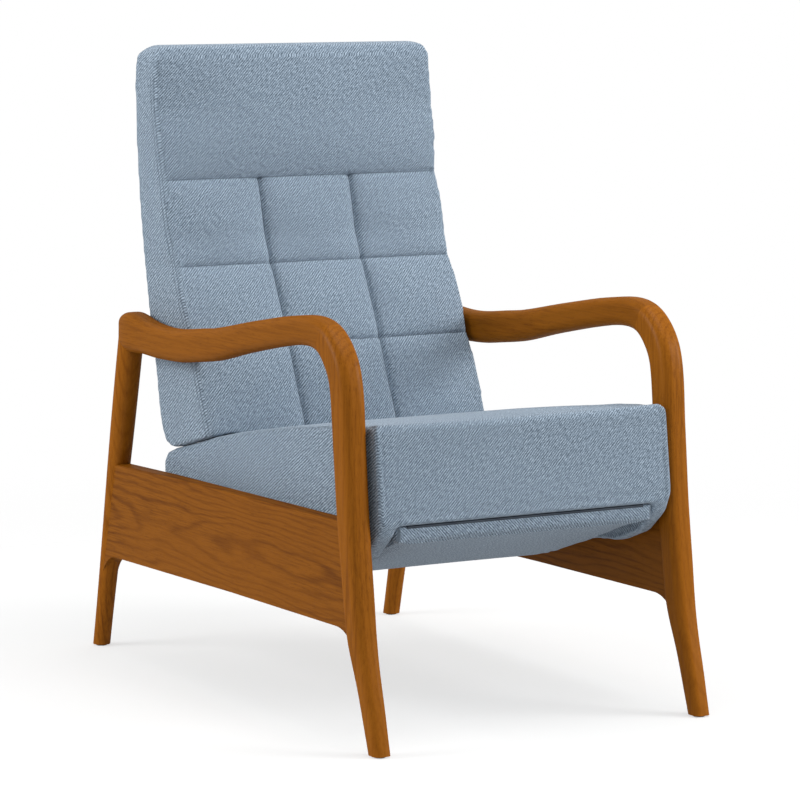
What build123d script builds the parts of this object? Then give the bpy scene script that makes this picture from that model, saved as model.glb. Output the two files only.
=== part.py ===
from build123d import *
import math
import os

# Driving dimensions of the chair, in millimetres and degrees.
# The chair faces -Y, the sitter's left is +X and the floor is Z = 0.
foot_reach = 484.5
side_centre = 283.5
arm_height = 635.0
seat_height = 487.0
back_height = 1022.0
seat_half_width = 257.0

# Wooden side frames
arm_depth = 52.0
arm_width = 42.0
leg_top_diameter = 42.0
leg_foot_diameter = 29.0
rail_thickness = 28.0
rail_edge_round = 2.5
glide_height = 2.5
glide_radius = 9.0
glide_spigot_radius = 3.0
glide_spigot_height = 9.0
stretcher_thickness = 24.0
stretcher_depth = 55.0
stretcher_housing = 9.0
stretcher_gap = 2.6

# Upholstered seat
seat_board_thickness = 18.0
cheek_thickness = 28.0
cheek_skin = 9.7
cheek_edge_round = 7.0
cushion_depth = 50.0
apron_depth = 20.0
seat_crown = 9.0
seat_rail_thickness = 22.0
spring_wire = 3.6
spring_swing = 21.0
spring_pitch = 34.0
spring_count = 4
rear_panel_thickness = 7.0
soft_clearance = 0.4

# Upholstered back
back_thickness = 120.0
pad_lift = 2.3
toe_lift = 1.2
pad_depth = 42.0
tuft_crown = 11.0
side_draw = 1.5
head_crown = 9.0
stile_width = 25.0
stile_depth = 22.0
webbing_width = 45.0
webbing_thickness = 2.0
back_panel_thickness = 11.0

# Footrest
footrest_half_width = 216.0
footrest_board_thickness = 12.0
footrest_slope = 12.0
footrest_swing = 165.0
crank_plate_thickness = 3.0
hinge_leaf = 1.5
knuckle_radius = 2.4
knuckle_pin_radius = 1.2
knuckle_count = 9

# Reclining mechanism
recline_angle = 28.0
lever_length = 93.0
lever_start = 13.0
crank_start = 3.0
glide_travel = 50.0
glide_slope = 4.0
plate_thickness = 3.0
bracket_length = 67.0
bracket_lean = 6.3
pivot_radius = 5.0
rod_pin_radius = 3.0
rod_thickness = 4.0
rod_depth = 12.0
shoe_half_height = 9.0
shoe_half_length = 16.0
shoe_width = 5.5
stud_radius = 4.0
track_web = 1.7
track_lip = 9.0
screw_radius = 2.0
screw_head_radius = 4.0
screw_head_height = 1.5
screw_length = 14.0
running_clearance = 0.05
side_clearance = 0.8

# Side frame: (along foot_reach, up arm_height, half depth of arm_depth, half width of arm_width)
frame_path_shares = [
    (0.772, 0.869, 0.18, 0.17), (0.767, 0.869, 0.36, 0.31), (0.754, 0.8685, 0.49, 0.43),
    (0.730, 0.868, 0.59, 0.50), (0.614, 0.863, 0.565, 0.51), (0.511, 0.857, 0.52, 0.50),
    (0.408, 0.856, 0.50, 0.50), (0.304, 0.860, 0.51, 0.50), (0.201, 0.869, 0.51, 0.50),
    (0.098, 0.878, 0.50, 0.50), (-0.005, 0.892, 0.475, 0.50), (-0.108, 0.908, 0.455, 0.50),
    (-0.212, 0.923, 0.447, 0.50), (-0.315, 0.937, 0.435, 0.50), (-0.418, 0.950, 0.433, 0.50),
    (-0.521, 0.960, 0.43, 0.50), (-0.608, 0.963, 0.447, 0.50), (-0.686, 0.951, 0.47, 0.50),
    (-0.742, 0.920, 0.49, 0.495), (-0.780, 0.879, 0.49, 0.49), (-0.798, 0.830, 0.485, 0.488),
    (-0.812, 0.720, 0.477, 0.483), (-0.822, 0.644, 0.471, 0.481), (-0.839, 0.520, 0.46, 0.476),
    (-0.856, 0.431, 0.45, 0.47), (-0.872, 0.350, 0.446, 0.46), (-0.892, 0.261, 0.42, 0.44),
    (-0.928, 0.175, 0.35, 0.39), (-0.963, 0.094, 0.32, 0.365), (-0.983, 0.043, 0.30, 0.35),
    (-1.000, 0.000, 0.28, 0.345), (-1.008, -0.022, 0.275, 0.34),
]
arm_joint_index = 17
corner_share = 0.72
leg_sink_share = 0.167
rear_leg_top_share = (0.727, 0.866)
rear_leg_swell_shares = [(-0.04, 0.0), (0.0, 0.0), (0.25, 0.20), (0.60, 0.75), (0.83, 0.96), (1.0, 1.0)]

# Side rails under the seat: (along foot_reach, up seat_height)
rail_inset_share = 0.167
rail_top_shares = [(0.813, 0.6637), (0.430, 0.6741), (-0.822, 0.6950)]
rail_front_shares = [(-0.895, 0.3390), (-0.903, 0.2816)]
rail_front_round_shares = [(-0.853, 0.3455), (-0.779, 0.3677)]
rail_bottom_shares = [(-0.057, 0.3586), (0.822, 0.3390)]
rail_rear_round_shares = [(0.898, 0.3040), (0.926, 0.2520)]
rail_heel_share = (0.935, 0.2520)
rear_stretcher_share = 0.72
mid_stretcher_share = 0.04

# Seat, seen from the side: (along foot_reach, up seat_height)
seat_top_shares = [
    (0.542, 0.741), (0.511, 0.752), (0.418, 0.774), (0.321, 0.799), (0.230, 0.823), (0.135, 0.844),
    (0.049, 0.862), (-0.044, 0.879), (-0.129, 0.893), (-0.220, 0.909), (-0.389, 0.936),
    (-0.620, 0.974), (-0.868, 1.000),
]
seat_nose_shares = [(-0.890, 0.994), (-0.897, 0.976)]
seat_front_share = (-0.899, 0.683)
cheek_chin_shares = [(-0.876, 0.655), (-0.847, 0.626), (-0.792, 0.577), (-0.686, 0.536), (-0.525, 0.512)]
cheek_heel_shares = [(0.562, 0.509), (0.589, 0.534), (0.595, 0.700), (0.569, 0.733)]
seat_crown_shares = [0.0, 0.0, 0.0, 0.0, 0.0, 0.35, 0.60, 0.80, 0.90, 1.0, 1.0, 0.80, 0.15]
deck_front_share = 0.900
deck_rear_share = 0.700
cushion_rear_share = 0.452
board_front_share = -0.820
board_rear_share = 0.580
board_bottom_share = 0.545
seat_rear_rail_share = (0.430, 0.545)

# Back, seen from the side: front seam line and heel (along foot_reach, up the back),
# crest and rear cover (share of back_thickness behind the seam line, up the back)
back_base_share = 0.75
back_front_foot_share = 0.240
back_front_shares = [
    (0.315, 0.175), (0.362, 0.2624), (0.447, 0.388), (0.490, 0.4553), (0.536, 0.522),
    (0.583, 0.6654), (0.606, 0.776), (0.628, 0.840), (0.633, 0.888), (0.638, 0.966),
]
back_crest_shares = [(0.057, 0.994), (0.271, 0.9984), (0.541, 0.975), (0.620, 0.930)]
back_rear_shares = [
    (0.634, 0.885), (0.728, 0.760), (0.801, 0.609), (0.915, 0.483), (1.185, 0.311), (1.305, 0.188),
]
back_heel_shares = [(0.620, 0.088), (0.598, 0.040), (0.573, 0.0134), (0.548, 0.0064), (0.520, 0.0033)]
seam_shares = [0.2624, 0.4553, 0.6654]
column_share = 0.339
ring_shares = [0.0, 0.2, 0.5, 0.8, 1.0]
ring_merge_share = 0.12
seam_crown_share = 0.08
head_corner_share = 0.85
head_corner_radius = 22.0
recline_pivot_share = (0.527, 0.8255)
boss_share = 2.4
bracket_foot_swell_share = 1.4

# Footrest pad under its board: (along foot_reach, up seat_height)
footrest_pad_shares = [
    (-0.884, 0.668), (-0.882, 0.628), (-0.851, 0.616), (-0.748, 0.579), (-0.600, 0.525),
    (-0.428, 0.470), (-0.346, 0.444), (-0.322, 0.452), (-0.315, 0.480), (-0.325, 0.545),
]
footrest_axis_drop_share = 0.0085
footrest_axis_lead = 1.5
board_start = 12.0


def at(share, height):
    """A point of the side view from its shares."""
    return (share[0] * foot_reach, share[1] * height)


def line(shares, height):
    return [at(share, height) for share in shares]


def up_back(share):
    """Height of a share of the back, which starts just over the rear of the seat."""
    base = back_base_share * seat_height
    return base + (back_height - base) * share


def slab(points, x_low, x_high):
    """A plate with a side-view outline, from x_low to x_high."""
    face = Plane.YZ.offset(x_low) * make_face(Polyline(*points, close=True))
    return extrude(face, amount=x_high - x_low)


def slab_of(face, x_low, x_high):
    return extrude(Plane.YZ.offset(x_low) * face, amount=x_high - x_low)


def rod_along_x(point, radius, x_low, x_high):
    """A round bar across the chair through a side-view point."""
    plane = Plane(origin=(x_low, point[0], point[1]), x_dir=(0, 1, 0), z_dir=(1, 0, 0))
    return extrude(plane * Circle(radius), amount=x_high - x_low)


def block(x_low, x_high, y_low, y_high, z_low, z_high):
    box = Box(x_high - x_low, y_high - y_low, z_high - z_low, align=(Align.MIN, Align.MIN, Align.MIN))
    return Pos(x_low, y_low, z_low) * box


def other_side(shape):
    return mirror(shape, about=Plane.YZ)


def turned(point, centre, degrees):
    """The point turned about a side-view centre, tops going rearward."""
    angle = math.radians(degrees)
    y = point[0] - centre[0]
    z = point[1] - centre[1]
    return (
        centre[0] + y * math.cos(angle) + z * math.sin(angle),
        centre[1] - y * math.sin(angle) + z * math.cos(angle),
    )


def between(first, second, share):
    return (first[0] + (second[0] - first[0]) * share, first[1] + (second[1] - first[1]) * share)


def height_on(points, y):
    """Height of a side-view line over y."""
    for first, second in zip(points, points[1:]):
        low, high = sorted((first[0], second[0]))
        if low <= y <= high and high > low:
            return between(first, second, (y - first[0]) / (second[0] - first[0]))[1]
    return points[-1][1] if abs(y - points[-1][0]) < abs(y - points[0][0]) else points[0][1]


def depth_on(points, z):
    """Place along Y of a side-view line at height z."""
    flipped = [(point[1], point[0]) for point in points]
    return height_on(flipped, z)


def behind_front(shares):
    """Side-view points of the back, placed behind its front seam line."""
    points = []
    for share in shares:
        z = up_back(share[1])
        points.append((depth_on(back_front, z) + share[0] * back_thickness, z))
    return points


parts = {}

# Levels and places worked out from the driving dimensions
rail_inner = side_centre + arm_width / 2 - arm_width * rail_inset_share - rail_thickness
rail_outer = rail_inner + rail_thickness
seat_top = line(seat_top_shares, seat_height)
seat_front = at(seat_front_share, seat_height)
deck_front = (seat_front[0] + apron_depth + soft_clearance, seat_height * deck_front_share)
deck_rear = (cushion_rear_share * foot_reach, seat_height * deck_rear_share)
pad_foot_y = back_front_foot_share * foot_reach
pad_foot = (pad_foot_y, height_on(seat_top, pad_foot_y) + pad_lift)
back_front = [pad_foot] + [(share[0] * foot_reach, up_back(share[1])) for share in back_front_shares]
back_crest = behind_front(back_crest_shares)
back_rear = behind_front(back_rear_shares)
back_rear += [(share[0] * foot_reach, up_back(share[1])) for share in back_heel_shares]
toe_tip = pad_foot[0] + soft_clearance
toe_top = pad_foot[1] - soft_clearance
toe_line = [(toe_tip, height_on(seat_top, toe_tip) + toe_lift)]
for point in reversed(seat_top):
    if toe_tip < point[0] < back_rear[-1][0]:
        toe_line.append((point[0], point[1] + toe_lift))
seam_levels = [pad_foot[1]] + [up_back(share) for share in seam_shares]
pivot = at(recline_pivot_share, seat_height)
footrest_axis = (
    seat_front[0] + footrest_axis_lead,
    seat_front[1] - seat_height * footrest_axis_drop_share,
)
board_inner = seat_half_width - cheek_thickness
board_outer = board_inner + seat_board_thickness


def deck_height(y):
    return between(deck_front, deck_rear, (y - deck_front[0]) / (deck_rear[0] - deck_front[0]))[1]


# Side frames: one sculpted run of arm and front leg, parted at the bend
def frame_ring(index):
    """One rounded section square to the path of the arm and leg."""
    here = frame_path_shares[index]
    before = at(frame_path_shares[max(index - 1, 0)], arm_height)
    after = at(frame_path_shares[min(index + 1, len(frame_path_shares) - 1)], arm_height)
    run = Vector(0, after[0] - before[0], after[1] - before[1]).normalized()
    centre = at(here, arm_height)
    half_depth = here[2] * arm_depth
    half_width = here[3] * arm_width
    plane = Plane(origin=(side_centre, centre[0], centre[1]), x_dir=(1, 0, 0), z_dir=run)
    corner = corner_share * min(half_depth, half_width)
    return plane, plane * RectangleRounded(2 * half_width, 2 * half_depth, corner)


def make_frame_run():
    rings = [frame_ring(index)[1] for index in range(len(frame_path_shares))]
    return loft(rings)


def make_rear_leg():
    top = at(rear_leg_top_share, arm_height)
    foot = (foot_reach, 0)
    run = Vector(0, top[0] - foot[0], top[1] - foot[1])
    rings = []
    for along, swell in rear_leg_swell_shares:
        centre = between(foot, top, along)
        diameter = leg_foot_diameter + (leg_top_diameter - leg_foot_diameter) * swell
        plane = Plane(origin=(side_centre, centre[0], centre[1]), x_dir=(1, 0, 0), z_dir=run)
        rings.append(plane * Circle(diameter / 2))
    return loft(rings)


def make_side_rail():
    top = line(rail_top_shares, seat_height)
    front = line(rail_front_shares, seat_height)
    front_round = line(rail_front_round_shares, seat_height)
    bottom = line(rail_bottom_shares, seat_height)
    rear_round = line(rail_rear_round_shares, seat_height)
    heel = at(rail_heel_share, seat_height)
    edges = [
        Line(top[0], top[1]),
        Line(top[1], top[2]),
        Line(top[2], front[0]),
        Line(front[0], front[1]),
        ThreePointArc(front[1], front_round[0], front_round[1]),
        Line(front_round[1], bottom[0]),
        Line(bottom[0], bottom[1]),
        ThreePointArc(bottom[1], rear_round[0], rear_round[1]),
        Line(rear_round[1], heel),
        Line(heel, top[0]),
    ]
    rail = slab_of(make_face(edges), rail_inner, rail_outer)
    middle_z = (top[1][1] + bottom[0][1]) / 2
    long_edges = []
    for edge in rail.edges():
        centre = edge.center()
        off_face = min(abs(centre.X - rail_inner), abs(centre.X - rail_outer))
        is_top = centre.Z > middle_z and edge.length > foot_reach / 2
        if off_face < running_clearance and is_top:
            long_edges.append(edge)
    return fillet(long_edges, rail_edge_round)


frame_run = make_frame_run()
floor_cut = block(
    -2 * side_centre, 2 * side_centre, -2 * foot_reach, 2 * foot_reach, -arm_height, glide_height
)
joint_plane = frame_ring(arm_joint_index)[0]
arm = split(frame_run, bisect_by=joint_plane, keep=Keep.BOTTOM)
front_leg = split(frame_run, bisect_by=joint_plane, keep=Keep.TOP) - floor_cut
side_rail = make_side_rail()
arm_end = at(frame_path_shares[3], arm_height)
above_leg = block(
    0, 2 * side_centre, 0, 2 * foot_reach,
    arm_end[1] - arm_depth * leg_sink_share, arm_end[1] + arm_depth,
)
rear_leg = make_rear_leg() - floor_cut - above_leg - arm - side_rail
front_leg = front_leg - side_rail


def glide_under(y):
    """A glide with a spigot up into the foot."""
    plane = Plane(origin=(side_centre, y, 0), x_dir=(1, 0, 0), z_dir=(0, 0, 1))
    disc = extrude(plane * Circle(glide_radius), amount=glide_height)
    spigot = extrude(plane * Circle(glide_spigot_radius), amount=glide_height + glide_spigot_height)
    return disc + spigot


front_glide = glide_under(-foot_reach)
rear_glide = glide_under(foot_reach)
front_leg = front_leg - front_glide
rear_leg = rear_leg - rear_glide

# Stretchers join the two side frames and are housed in the rails, under the seat
housing_outer = rail_inner + stretcher_housing
stretcher_top = cheek_heel_shares[0][1] * seat_height - stretcher_gap


def make_stretcher(share):
    y = share * foot_reach
    return block(
        -housing_outer, housing_outer,
        y - stretcher_thickness / 2, y + stretcher_thickness / 2,
        stretcher_top - stretcher_depth, stretcher_top,
    )


rear_stretcher = make_stretcher(rear_stretcher_share)
mid_stretcher = make_stretcher(mid_stretcher_share)
side_rail = side_rail - rear_stretcher - mid_stretcher

# Seat glide: a channel on each rail, two sliding shoes on each seat board
glide_run = (-math.cos(math.radians(glide_slope)), math.sin(math.radians(glide_slope)))
shoe_front_share = -0.475
shoe_rear_share = 0.270
track_level_share = 0.6233


def track_point(y):
    """Point of the track's centre line over y."""
    middle = (shoe_front_share + shoe_rear_share) / 2 * foot_reach
    level = track_level_share * seat_height
    return (y, level - (y - middle) * math.tan(math.radians(glide_slope)))


def along_track(point, forward, up):
    return (
        point[0] + glide_run[0] * forward + glide_run[1] * up,
        point[1] + glide_run[1] * forward - glide_run[0] * up,
    )


shoe_points = [
    track_point(shoe_front_share * foot_reach),
    track_point(shoe_rear_share * foot_reach),
]
shoe_outer = rail_inner - track_web - side_clearance
shoe_inner = shoe_outer - shoe_width
track_inside = shoe_half_height + 2 * running_clearance


def track_plate(origin, forward_low, forward_high, up_low, up_high, x_low, x_high):
    corners = [
        along_track(origin, forward_low, up_low),
        along_track(origin, forward_high, up_low),
        along_track(origin, forward_high, up_high),
        along_track(origin, forward_low, up_high),
    ]
    return slab(corners, x_low, x_high)


shoe_spread = math.dist(shoe_points[0], shoe_points[1])
track_low = -shoe_half_length - shoe_half_height
track_high = shoe_spread + glide_travel + shoe_half_length + shoe_half_height
lip_outside = track_inside + track_web
track_origin = shoe_points[1]
web_inner = rail_inner - track_web
lip_inner = rail_inner - track_lip
seat_track = (
    track_plate(track_origin, track_low, track_high, -lip_outside, lip_outside, web_inner, rail_inner)
    + track_plate(track_origin, track_low, track_high, track_inside, lip_outside, lip_inner, rail_inner)
    + track_plate(track_origin, track_low, track_high, -lip_outside, -track_inside, lip_inner, rail_inner)
)
track_screw_shares = [0.25, 0.45, 0.62, 0.76]


def make_track_screws():
    solids = []
    for share in track_screw_shares:
        point = along_track(track_origin, share * shoe_spread, 0)
        head = rod_along_x(point, screw_head_radius, web_inner - screw_head_height, web_inner)
        shank = rod_along_x(point, screw_radius, web_inner, web_inner + screw_length)
        solids.append((head + shank).solid())
    return solids


track_screws = make_track_screws()
for screw in track_screws:
    seat_track = seat_track - screw
    side_rail = side_rail - screw


def make_shoe(point):
    """A sliding shoe pressed on its stud."""
    shoe = track_plate(
        point, -shoe_half_length, shoe_half_length, -shoe_half_height, shoe_half_height,
        shoe_inner, shoe_outer,
    )
    return shoe - rod_along_x(point, stud_radius, shoe_inner, shoe_outer)


def make_stud(point):
    return rod_along_x(point, stud_radius, board_inner + seat_board_thickness / 3, shoe_outer)


shoes = [make_shoe(point) for point in shoe_points]
studs = [make_stud(point) for point in shoe_points]

# Seat box: side boards, front and rear rails, zigzag springs
lever_pin = (
    pivot[0] + lever_length * math.sin(math.radians(lever_start)),
    pivot[1] - lever_length * math.cos(math.radians(lever_start)),
)
lever_end_angle = recline_angle - lever_start
rod_travel = lever_length * (
    math.sin(math.radians(lever_start)) + math.sin(math.radians(lever_end_angle))
)
crank_end = crank_start + footrest_swing
crank_radius = rod_travel / (math.cos(math.radians(crank_start)) - math.cos(math.radians(crank_end)))
crank_pin = (
    footrest_axis[0] + crank_radius * math.cos(math.radians(crank_start)),
    footrest_axis[1] - crank_radius * math.sin(math.radians(crank_start)),
)
crank_inner = footrest_half_width + soft_clearance
rod_inner = crank_inner + crank_plate_thickness + side_clearance + 2 * soft_clearance
rod_outer = rod_inner + rod_thickness
bracket_inner = board_inner - plate_thickness
lever_outer = rod_inner - side_clearance
lever_inner = lever_outer - plate_thickness


def make_seat_board():
    rear = board_rear_share * foot_reach
    front = board_front_share * foot_reach
    bottom = board_bottom_share * seat_height
    chin = line(cheek_chin_shares, seat_height)
    toe = height_on(chin, front)
    top_rear = height_on(seat_top, rear) - cheek_skin
    points = [
        (front, deck_height(front)),
        (deck_rear[0], deck_rear[1]),
        (deck_rear[0] + cushion_depth / 2, top_rear),
        (rear, top_rear),
        (rear, bottom),
        (chin[-1][0], bottom),
        (front, toe + cheek_skin),
    ]
    return slab(points, board_inner, board_outer)


seat_board = make_seat_board()
for stud in studs:
    seat_board = seat_board - stud

passage_low = lever_pin[1] - rod_depth
passage_high = crank_pin[1] + rod_depth
passage_inner = crank_inner - side_clearance
rod_passage = block(
    passage_inner, board_inner - side_clearance, -foot_reach, foot_reach, passage_low, passage_high
)
front_rail_front = seat_front[0] + apron_depth + soft_clearance
under_spring = spring_wire + running_clearance


def make_front_rail():
    rear = front_rail_front + seat_rail_thickness
    points = [
        (front_rail_front, seat_front[1]),
        (rear, seat_front[1]),
        (rear, deck_height(rear) - under_spring),
        (front_rail_front, deck_height(front_rail_front) - under_spring),
    ]
    rail = slab(points, -board_inner, board_inner)
    return rail - rod_passage - other_side(rod_passage)


def make_rear_rail():
    front = seat_rear_rail_share[0] * foot_reach - seat_rail_thickness
    rear = seat_rear_rail_share[0] * foot_reach
    points = [
        (front, seat_rear_rail_share[1] * seat_height),
        (rear, seat_rear_rail_share[1] * seat_height),
        (rear, deck_height(rear) - under_spring),
        (front, deck_height(front) - under_spring),
    ]
    rail = slab(points, -board_inner, board_inner)
    return rail - rod_passage - other_side(rod_passage)


front_rail = make_front_rail()
rear_rail = make_rear_rail()


def make_spring(x):
    """One zigzag spring lying along the deck from rail to rail."""
    start_y = front_rail_front + seat_rail_thickness / 2
    end_y = seat_rear_rail_share[0] * foot_reach - seat_rail_thickness / 2
    turns = int((end_y - start_y) / spring_pitch)
    pitch = (end_y - start_y) / turns
    corners = []
    for index in range(turns + 1):
        bend = start_y + index * pitch
        side = spring_swing if index % 2 else -spring_swing
        for y in (bend - pitch / 4, bend + pitch / 4):
            corners.append((x + side, y, deck_height(y) - spring_wire / 2))
    path = FilletPolyline(*corners, radius=pitch / 5)
    start_plane = Plane(origin=corners[0], z_dir=path % 0)
    return sweep(start_plane * Circle(spring_wire / 2), path=path)


# Seat cushion: one slab that rolls over the front edge into an apron
def make_seat_cushion():
    nose = line(seat_nose_shares, seat_height)
    top = [point for point in seat_top if point[0] <= deck_rear[0]]
    top = [(deck_rear[0], height_on(seat_top, deck_rear[0]))] + top
    bottom_front = (seat_front[0], seat_front[1] + soft_clearance)
    outline = top + [nose[0], nose[1], bottom_front]
    outline += [
        (front_rail_front - soft_clearance, bottom_front[1]),
        (front_rail_front - soft_clearance, deck_height(front_rail_front) + soft_clearance),
        (deck_rear[0], deck_rear[1] + soft_clearance),
    ]
    half = seat_half_width - cheek_skin - soft_clearance
    return slab(outline, -half, half)


def crown_over(points, shares, half, rise):
    """A low crown across the chair, lofted through arcs along a side-view line."""
    rings = []
    for point, share in zip(points, shares):
        foot = point[1] - rise
        ends = ((-half, point[1]), (half, point[1]))
        arc = ThreePointArc(ends[0], (0, point[1] + rise * share), ends[1])
        low = Polyline(ends[1], (half, foot), (-half, foot), ends[0])
        face = make_face([arc] + list(low.edges()))
        plane = Plane(origin=(0, point[0], 0), x_dir=(1, 0, 0), z_dir=(0, -1, 0))
        rings.append(plane * face)
    return loft(rings, ruled=True)


seat_cushion = make_seat_cushion()
crown_start = seat_crown_shares.count(0.0) - 1
crown_line = seat_top[crown_start:]
crown_shares = [share + running_clearance / seat_crown for share in seat_crown_shares[crown_start:]]
seat_cushion = seat_cushion + crown_over(
    crown_line, crown_shares, seat_half_width - cheek_skin - soft_clearance, seat_crown
)


# Upholstered side of the seat, over its board
def make_cheek():
    nose = line(seat_nose_shares, seat_height)
    chin = line(cheek_chin_shares, seat_height)
    heel = line(cheek_heel_shares, seat_height)
    outline = seat_top + nose + [seat_front] + chin + heel
    whole = slab(outline, board_inner, seat_half_width)
    outer_edges = []
    for edge in whole.edges():
        if abs(edge.center().X - seat_half_width) < running_clearance:
            outer_edges.append(edge)
    return fillet(outer_edges, cheek_edge_round)


cheek = make_cheek()
space_top = seat_height + cushion_depth
cushion_box = slab(
    [
        (deck_rear[0] + soft_clearance, deck_rear[1] - soft_clearance),
        (deck_rear[0] + soft_clearance, space_top),
        (seat_front[0] - apron_depth, space_top),
        (seat_front[0] - apron_depth, seat_front[1]),
        (front_rail_front, seat_front[1]),
        (front_rail_front, deck_front[1] - soft_clearance),
    ],
    0, seat_half_width - cheek_skin,
)
cheek = cheek - cushion_box - seat_board
for point in shoe_points:
    hole = rod_along_x(point, stud_radius + soft_clearance, board_inner, seat_half_width + cheek_skin)
    cheek = cheek - hole

# Rear panel closing the seat box behind the levers
rear_panel_front = at(cheek_heel_shares[2], seat_height)[0] + soft_clearance
seat_rear_panel = block(
    -seat_half_width + cheek_skin, seat_half_width - cheek_skin,
    rear_panel_front, rear_panel_front + rear_panel_thickness,
    seat_height * cheek_heel_shares[1][1], seat_height * cheek_heel_shares[2][1],
)


# Recline bracket on the seat board, with the pin that the back turns on
def plate_with_bosses(first, second, first_radius, second_radius, x_low, x_high):
    """A straight link plate with round ends."""
    run = math.atan2(second[1] - first[1], second[0] - first[0])
    normal = (-math.sin(run), math.cos(run))
    quad = [
        (first[0] + normal[0] * first_radius, first[1] + normal[1] * first_radius),
        (second[0] + normal[0] * second_radius, second[1] + normal[1] * second_radius),
        (second[0] - normal[0] * second_radius, second[1] - normal[1] * second_radius),
        (first[0] - normal[0] * first_radius, first[1] - normal[1] * first_radius),
    ]
    return (
        slab(quad, x_low, x_high)
        + rod_along_x(first, first_radius, x_low, x_high)
        + rod_along_x(second, second_radius, x_low, x_high)
    )


bracket_foot = (pivot[0] + bracket_lean, pivot[1] - bracket_length)
boss_radius = boss_share * pivot_radius
recline_bracket = plate_with_bosses(
    pivot, bracket_foot, boss_radius, bracket_foot_swell_share * boss_radius,
    bracket_inner, board_inner,
)
recline_pin = rod_along_x(pivot, pivot_radius, lever_inner, board_inner)
recline_bracket = recline_bracket - recline_pin
bracket_screw_shares = [(0.0, 0.0), (-0.9, -0.3), (0.9, -0.3)]


def make_bracket_screws():
    solids = []
    for share in bracket_screw_shares:
        point = (bracket_foot[0] + share[0] * boss_radius, bracket_foot[1] + share[1] * boss_radius)
        head = rod_along_x(point, screw_head_radius, bracket_inner - screw_head_height, bracket_inner)
        shank = rod_along_x(point, screw_radius, bracket_inner, bracket_inner + screw_length)
        solids.append((head + shank).solid())
    return solids


bracket_screws = make_bracket_screws()
for screw in bracket_screws:
    recline_bracket = recline_bracket - screw
    seat_board = seat_board - screw

# Back: stiles, cross rails, webbing, side plates with the levers
stile_foot = back_front[0][1] + back_panel_thickness
stile_behind = pad_depth + soft_clearance
stile_line = [(depth_on(back_front, stile_foot) + stile_behind, stile_foot)]
stile_line += [(point[0] + stile_behind, point[1]) for point in back_front[1:-1]]


def make_stile():
    rear = [(point[0] + stile_depth, point[1]) for point in reversed(stile_line)]
    return slab(stile_line + rear, lever_inner - stile_width, lever_inner)


stile = make_stile()
cross_rail_shares = [0.02, 0.50, 0.93]
cross_rail_height_share = 0.06


def stile_point(share):
    """Front face of the stile, a share of the way up."""
    low = stile_line[0][1]
    high = stile_line[-1][1]
    z = low + (high - low) * share
    return (depth_on(stile_line, z), z)


def along_stiles(low_share, high_share, depth):
    """Side view of a piece that lies along the front of the stiles."""
    low = stile_point(low_share)
    high = stile_point(high_share)
    front = [low] + [point for point in stile_line if low[1] < point[1] < high[1]] + [high]
    return front + [(point[0] + depth, point[1]) for point in reversed(front)]


def make_cross_rails():
    solids = []
    half = lever_inner - stile_width
    for share in cross_rail_shares:
        points = along_stiles(share, share + cross_rail_height_share, stile_depth)
        solids.append(slab(points, -half, half).solid())
    return solids


cross_rails = make_cross_rails()
webbing_shares = [0.10, 0.20, 0.30, 0.40, 0.58, 0.69, 0.80]


def make_webbing():
    """Elastic straps let into the front of the stiles."""
    solids = []
    half = lever_inner - stile_width / 2
    width_share = webbing_width / (stile_line[-1][1] - stile_line[0][1])
    for share in webbing_shares:
        points = along_stiles(share, share + width_share, webbing_thickness)
        solids.append(slab(points, -half, half).solid())
    return solids


webbing = make_webbing()
for strap in webbing:
    stile = stile - strap

plate_top_share = 0.16
plate_top = stile_point(plate_top_share)
side_plate_points = [
    (plate_top[0], plate_top[1]),
    (plate_top[0] + stile_depth, plate_top[1]),
    (pivot[0] + boss_radius / 2, pivot[1] + boss_radius),
    (pivot[0] - boss_radius, pivot[1] - boss_radius),
    stile_line[0],
]
side_plate_points += [point for point in stile_line[1:] if point[1] < plate_top[1]]
rod_boss = 2 * rod_pin_radius
side_plate = slab(side_plate_points, lever_inner, lever_outer) + plate_with_bosses(
    pivot, lever_pin, boss_radius, rod_boss, lever_inner, lever_outer
)
side_plate = side_plate - rod_along_x(pivot, pivot_radius + running_clearance, lever_inner, lever_outer)
rod_pin = rod_along_x(lever_pin, rod_pin_radius, lever_inner, rod_outer + side_clearance)
side_plate = side_plate - rod_pin
plate_screw_shares = [0.04, 0.13]


def make_plate_screws():
    solids = []
    for share in plate_screw_shares:
        low = stile_point(share)
        point = (low[0] + stile_depth / 2, low[1])
        head = rod_along_x(point, screw_head_radius, lever_outer, lever_outer + screw_head_height)
        shank = rod_along_x(point, screw_radius, lever_outer - screw_length, lever_outer)
        solids.append((head + shank).solid())
    return solids


plate_screws = make_plate_screws()
for screw in plate_screws:
    side_plate = side_plate - screw
    stile = stile - screw

# Back upholstery: head panel, tufted panel, side boxing, rear and bottom covers
crest_height = back_crest[1][1]
pad_rear = [(point[0] + pad_depth, point[1]) for point in back_front[:-1]]
pad_rear.append((back_front[-1][0] + pad_depth, crest_height))
head_front = back_front + [back_crest[0], (back_crest[0][0] + head_corner_radius / 2, crest_height)]


def pad_ring(z, columns, rise):
    """Level section of the front pad at height z, with one crown for each column."""
    front = depth_on(head_front, z)
    rear = depth_on(pad_rear, z)
    edges = []
    for first, second in zip(columns, columns[1:]):
        peak = ((first + second) / 2, front - rise)
        edges.append(ThreePointArc((first, front), peak, (second, front)))
    box = Polyline(
        (columns[-1], front), (columns[-1], rear), (columns[0], rear), (columns[0], front)
    )
    return Plane.XY.offset(z) * make_face(edges + list(box.edges()))


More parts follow.
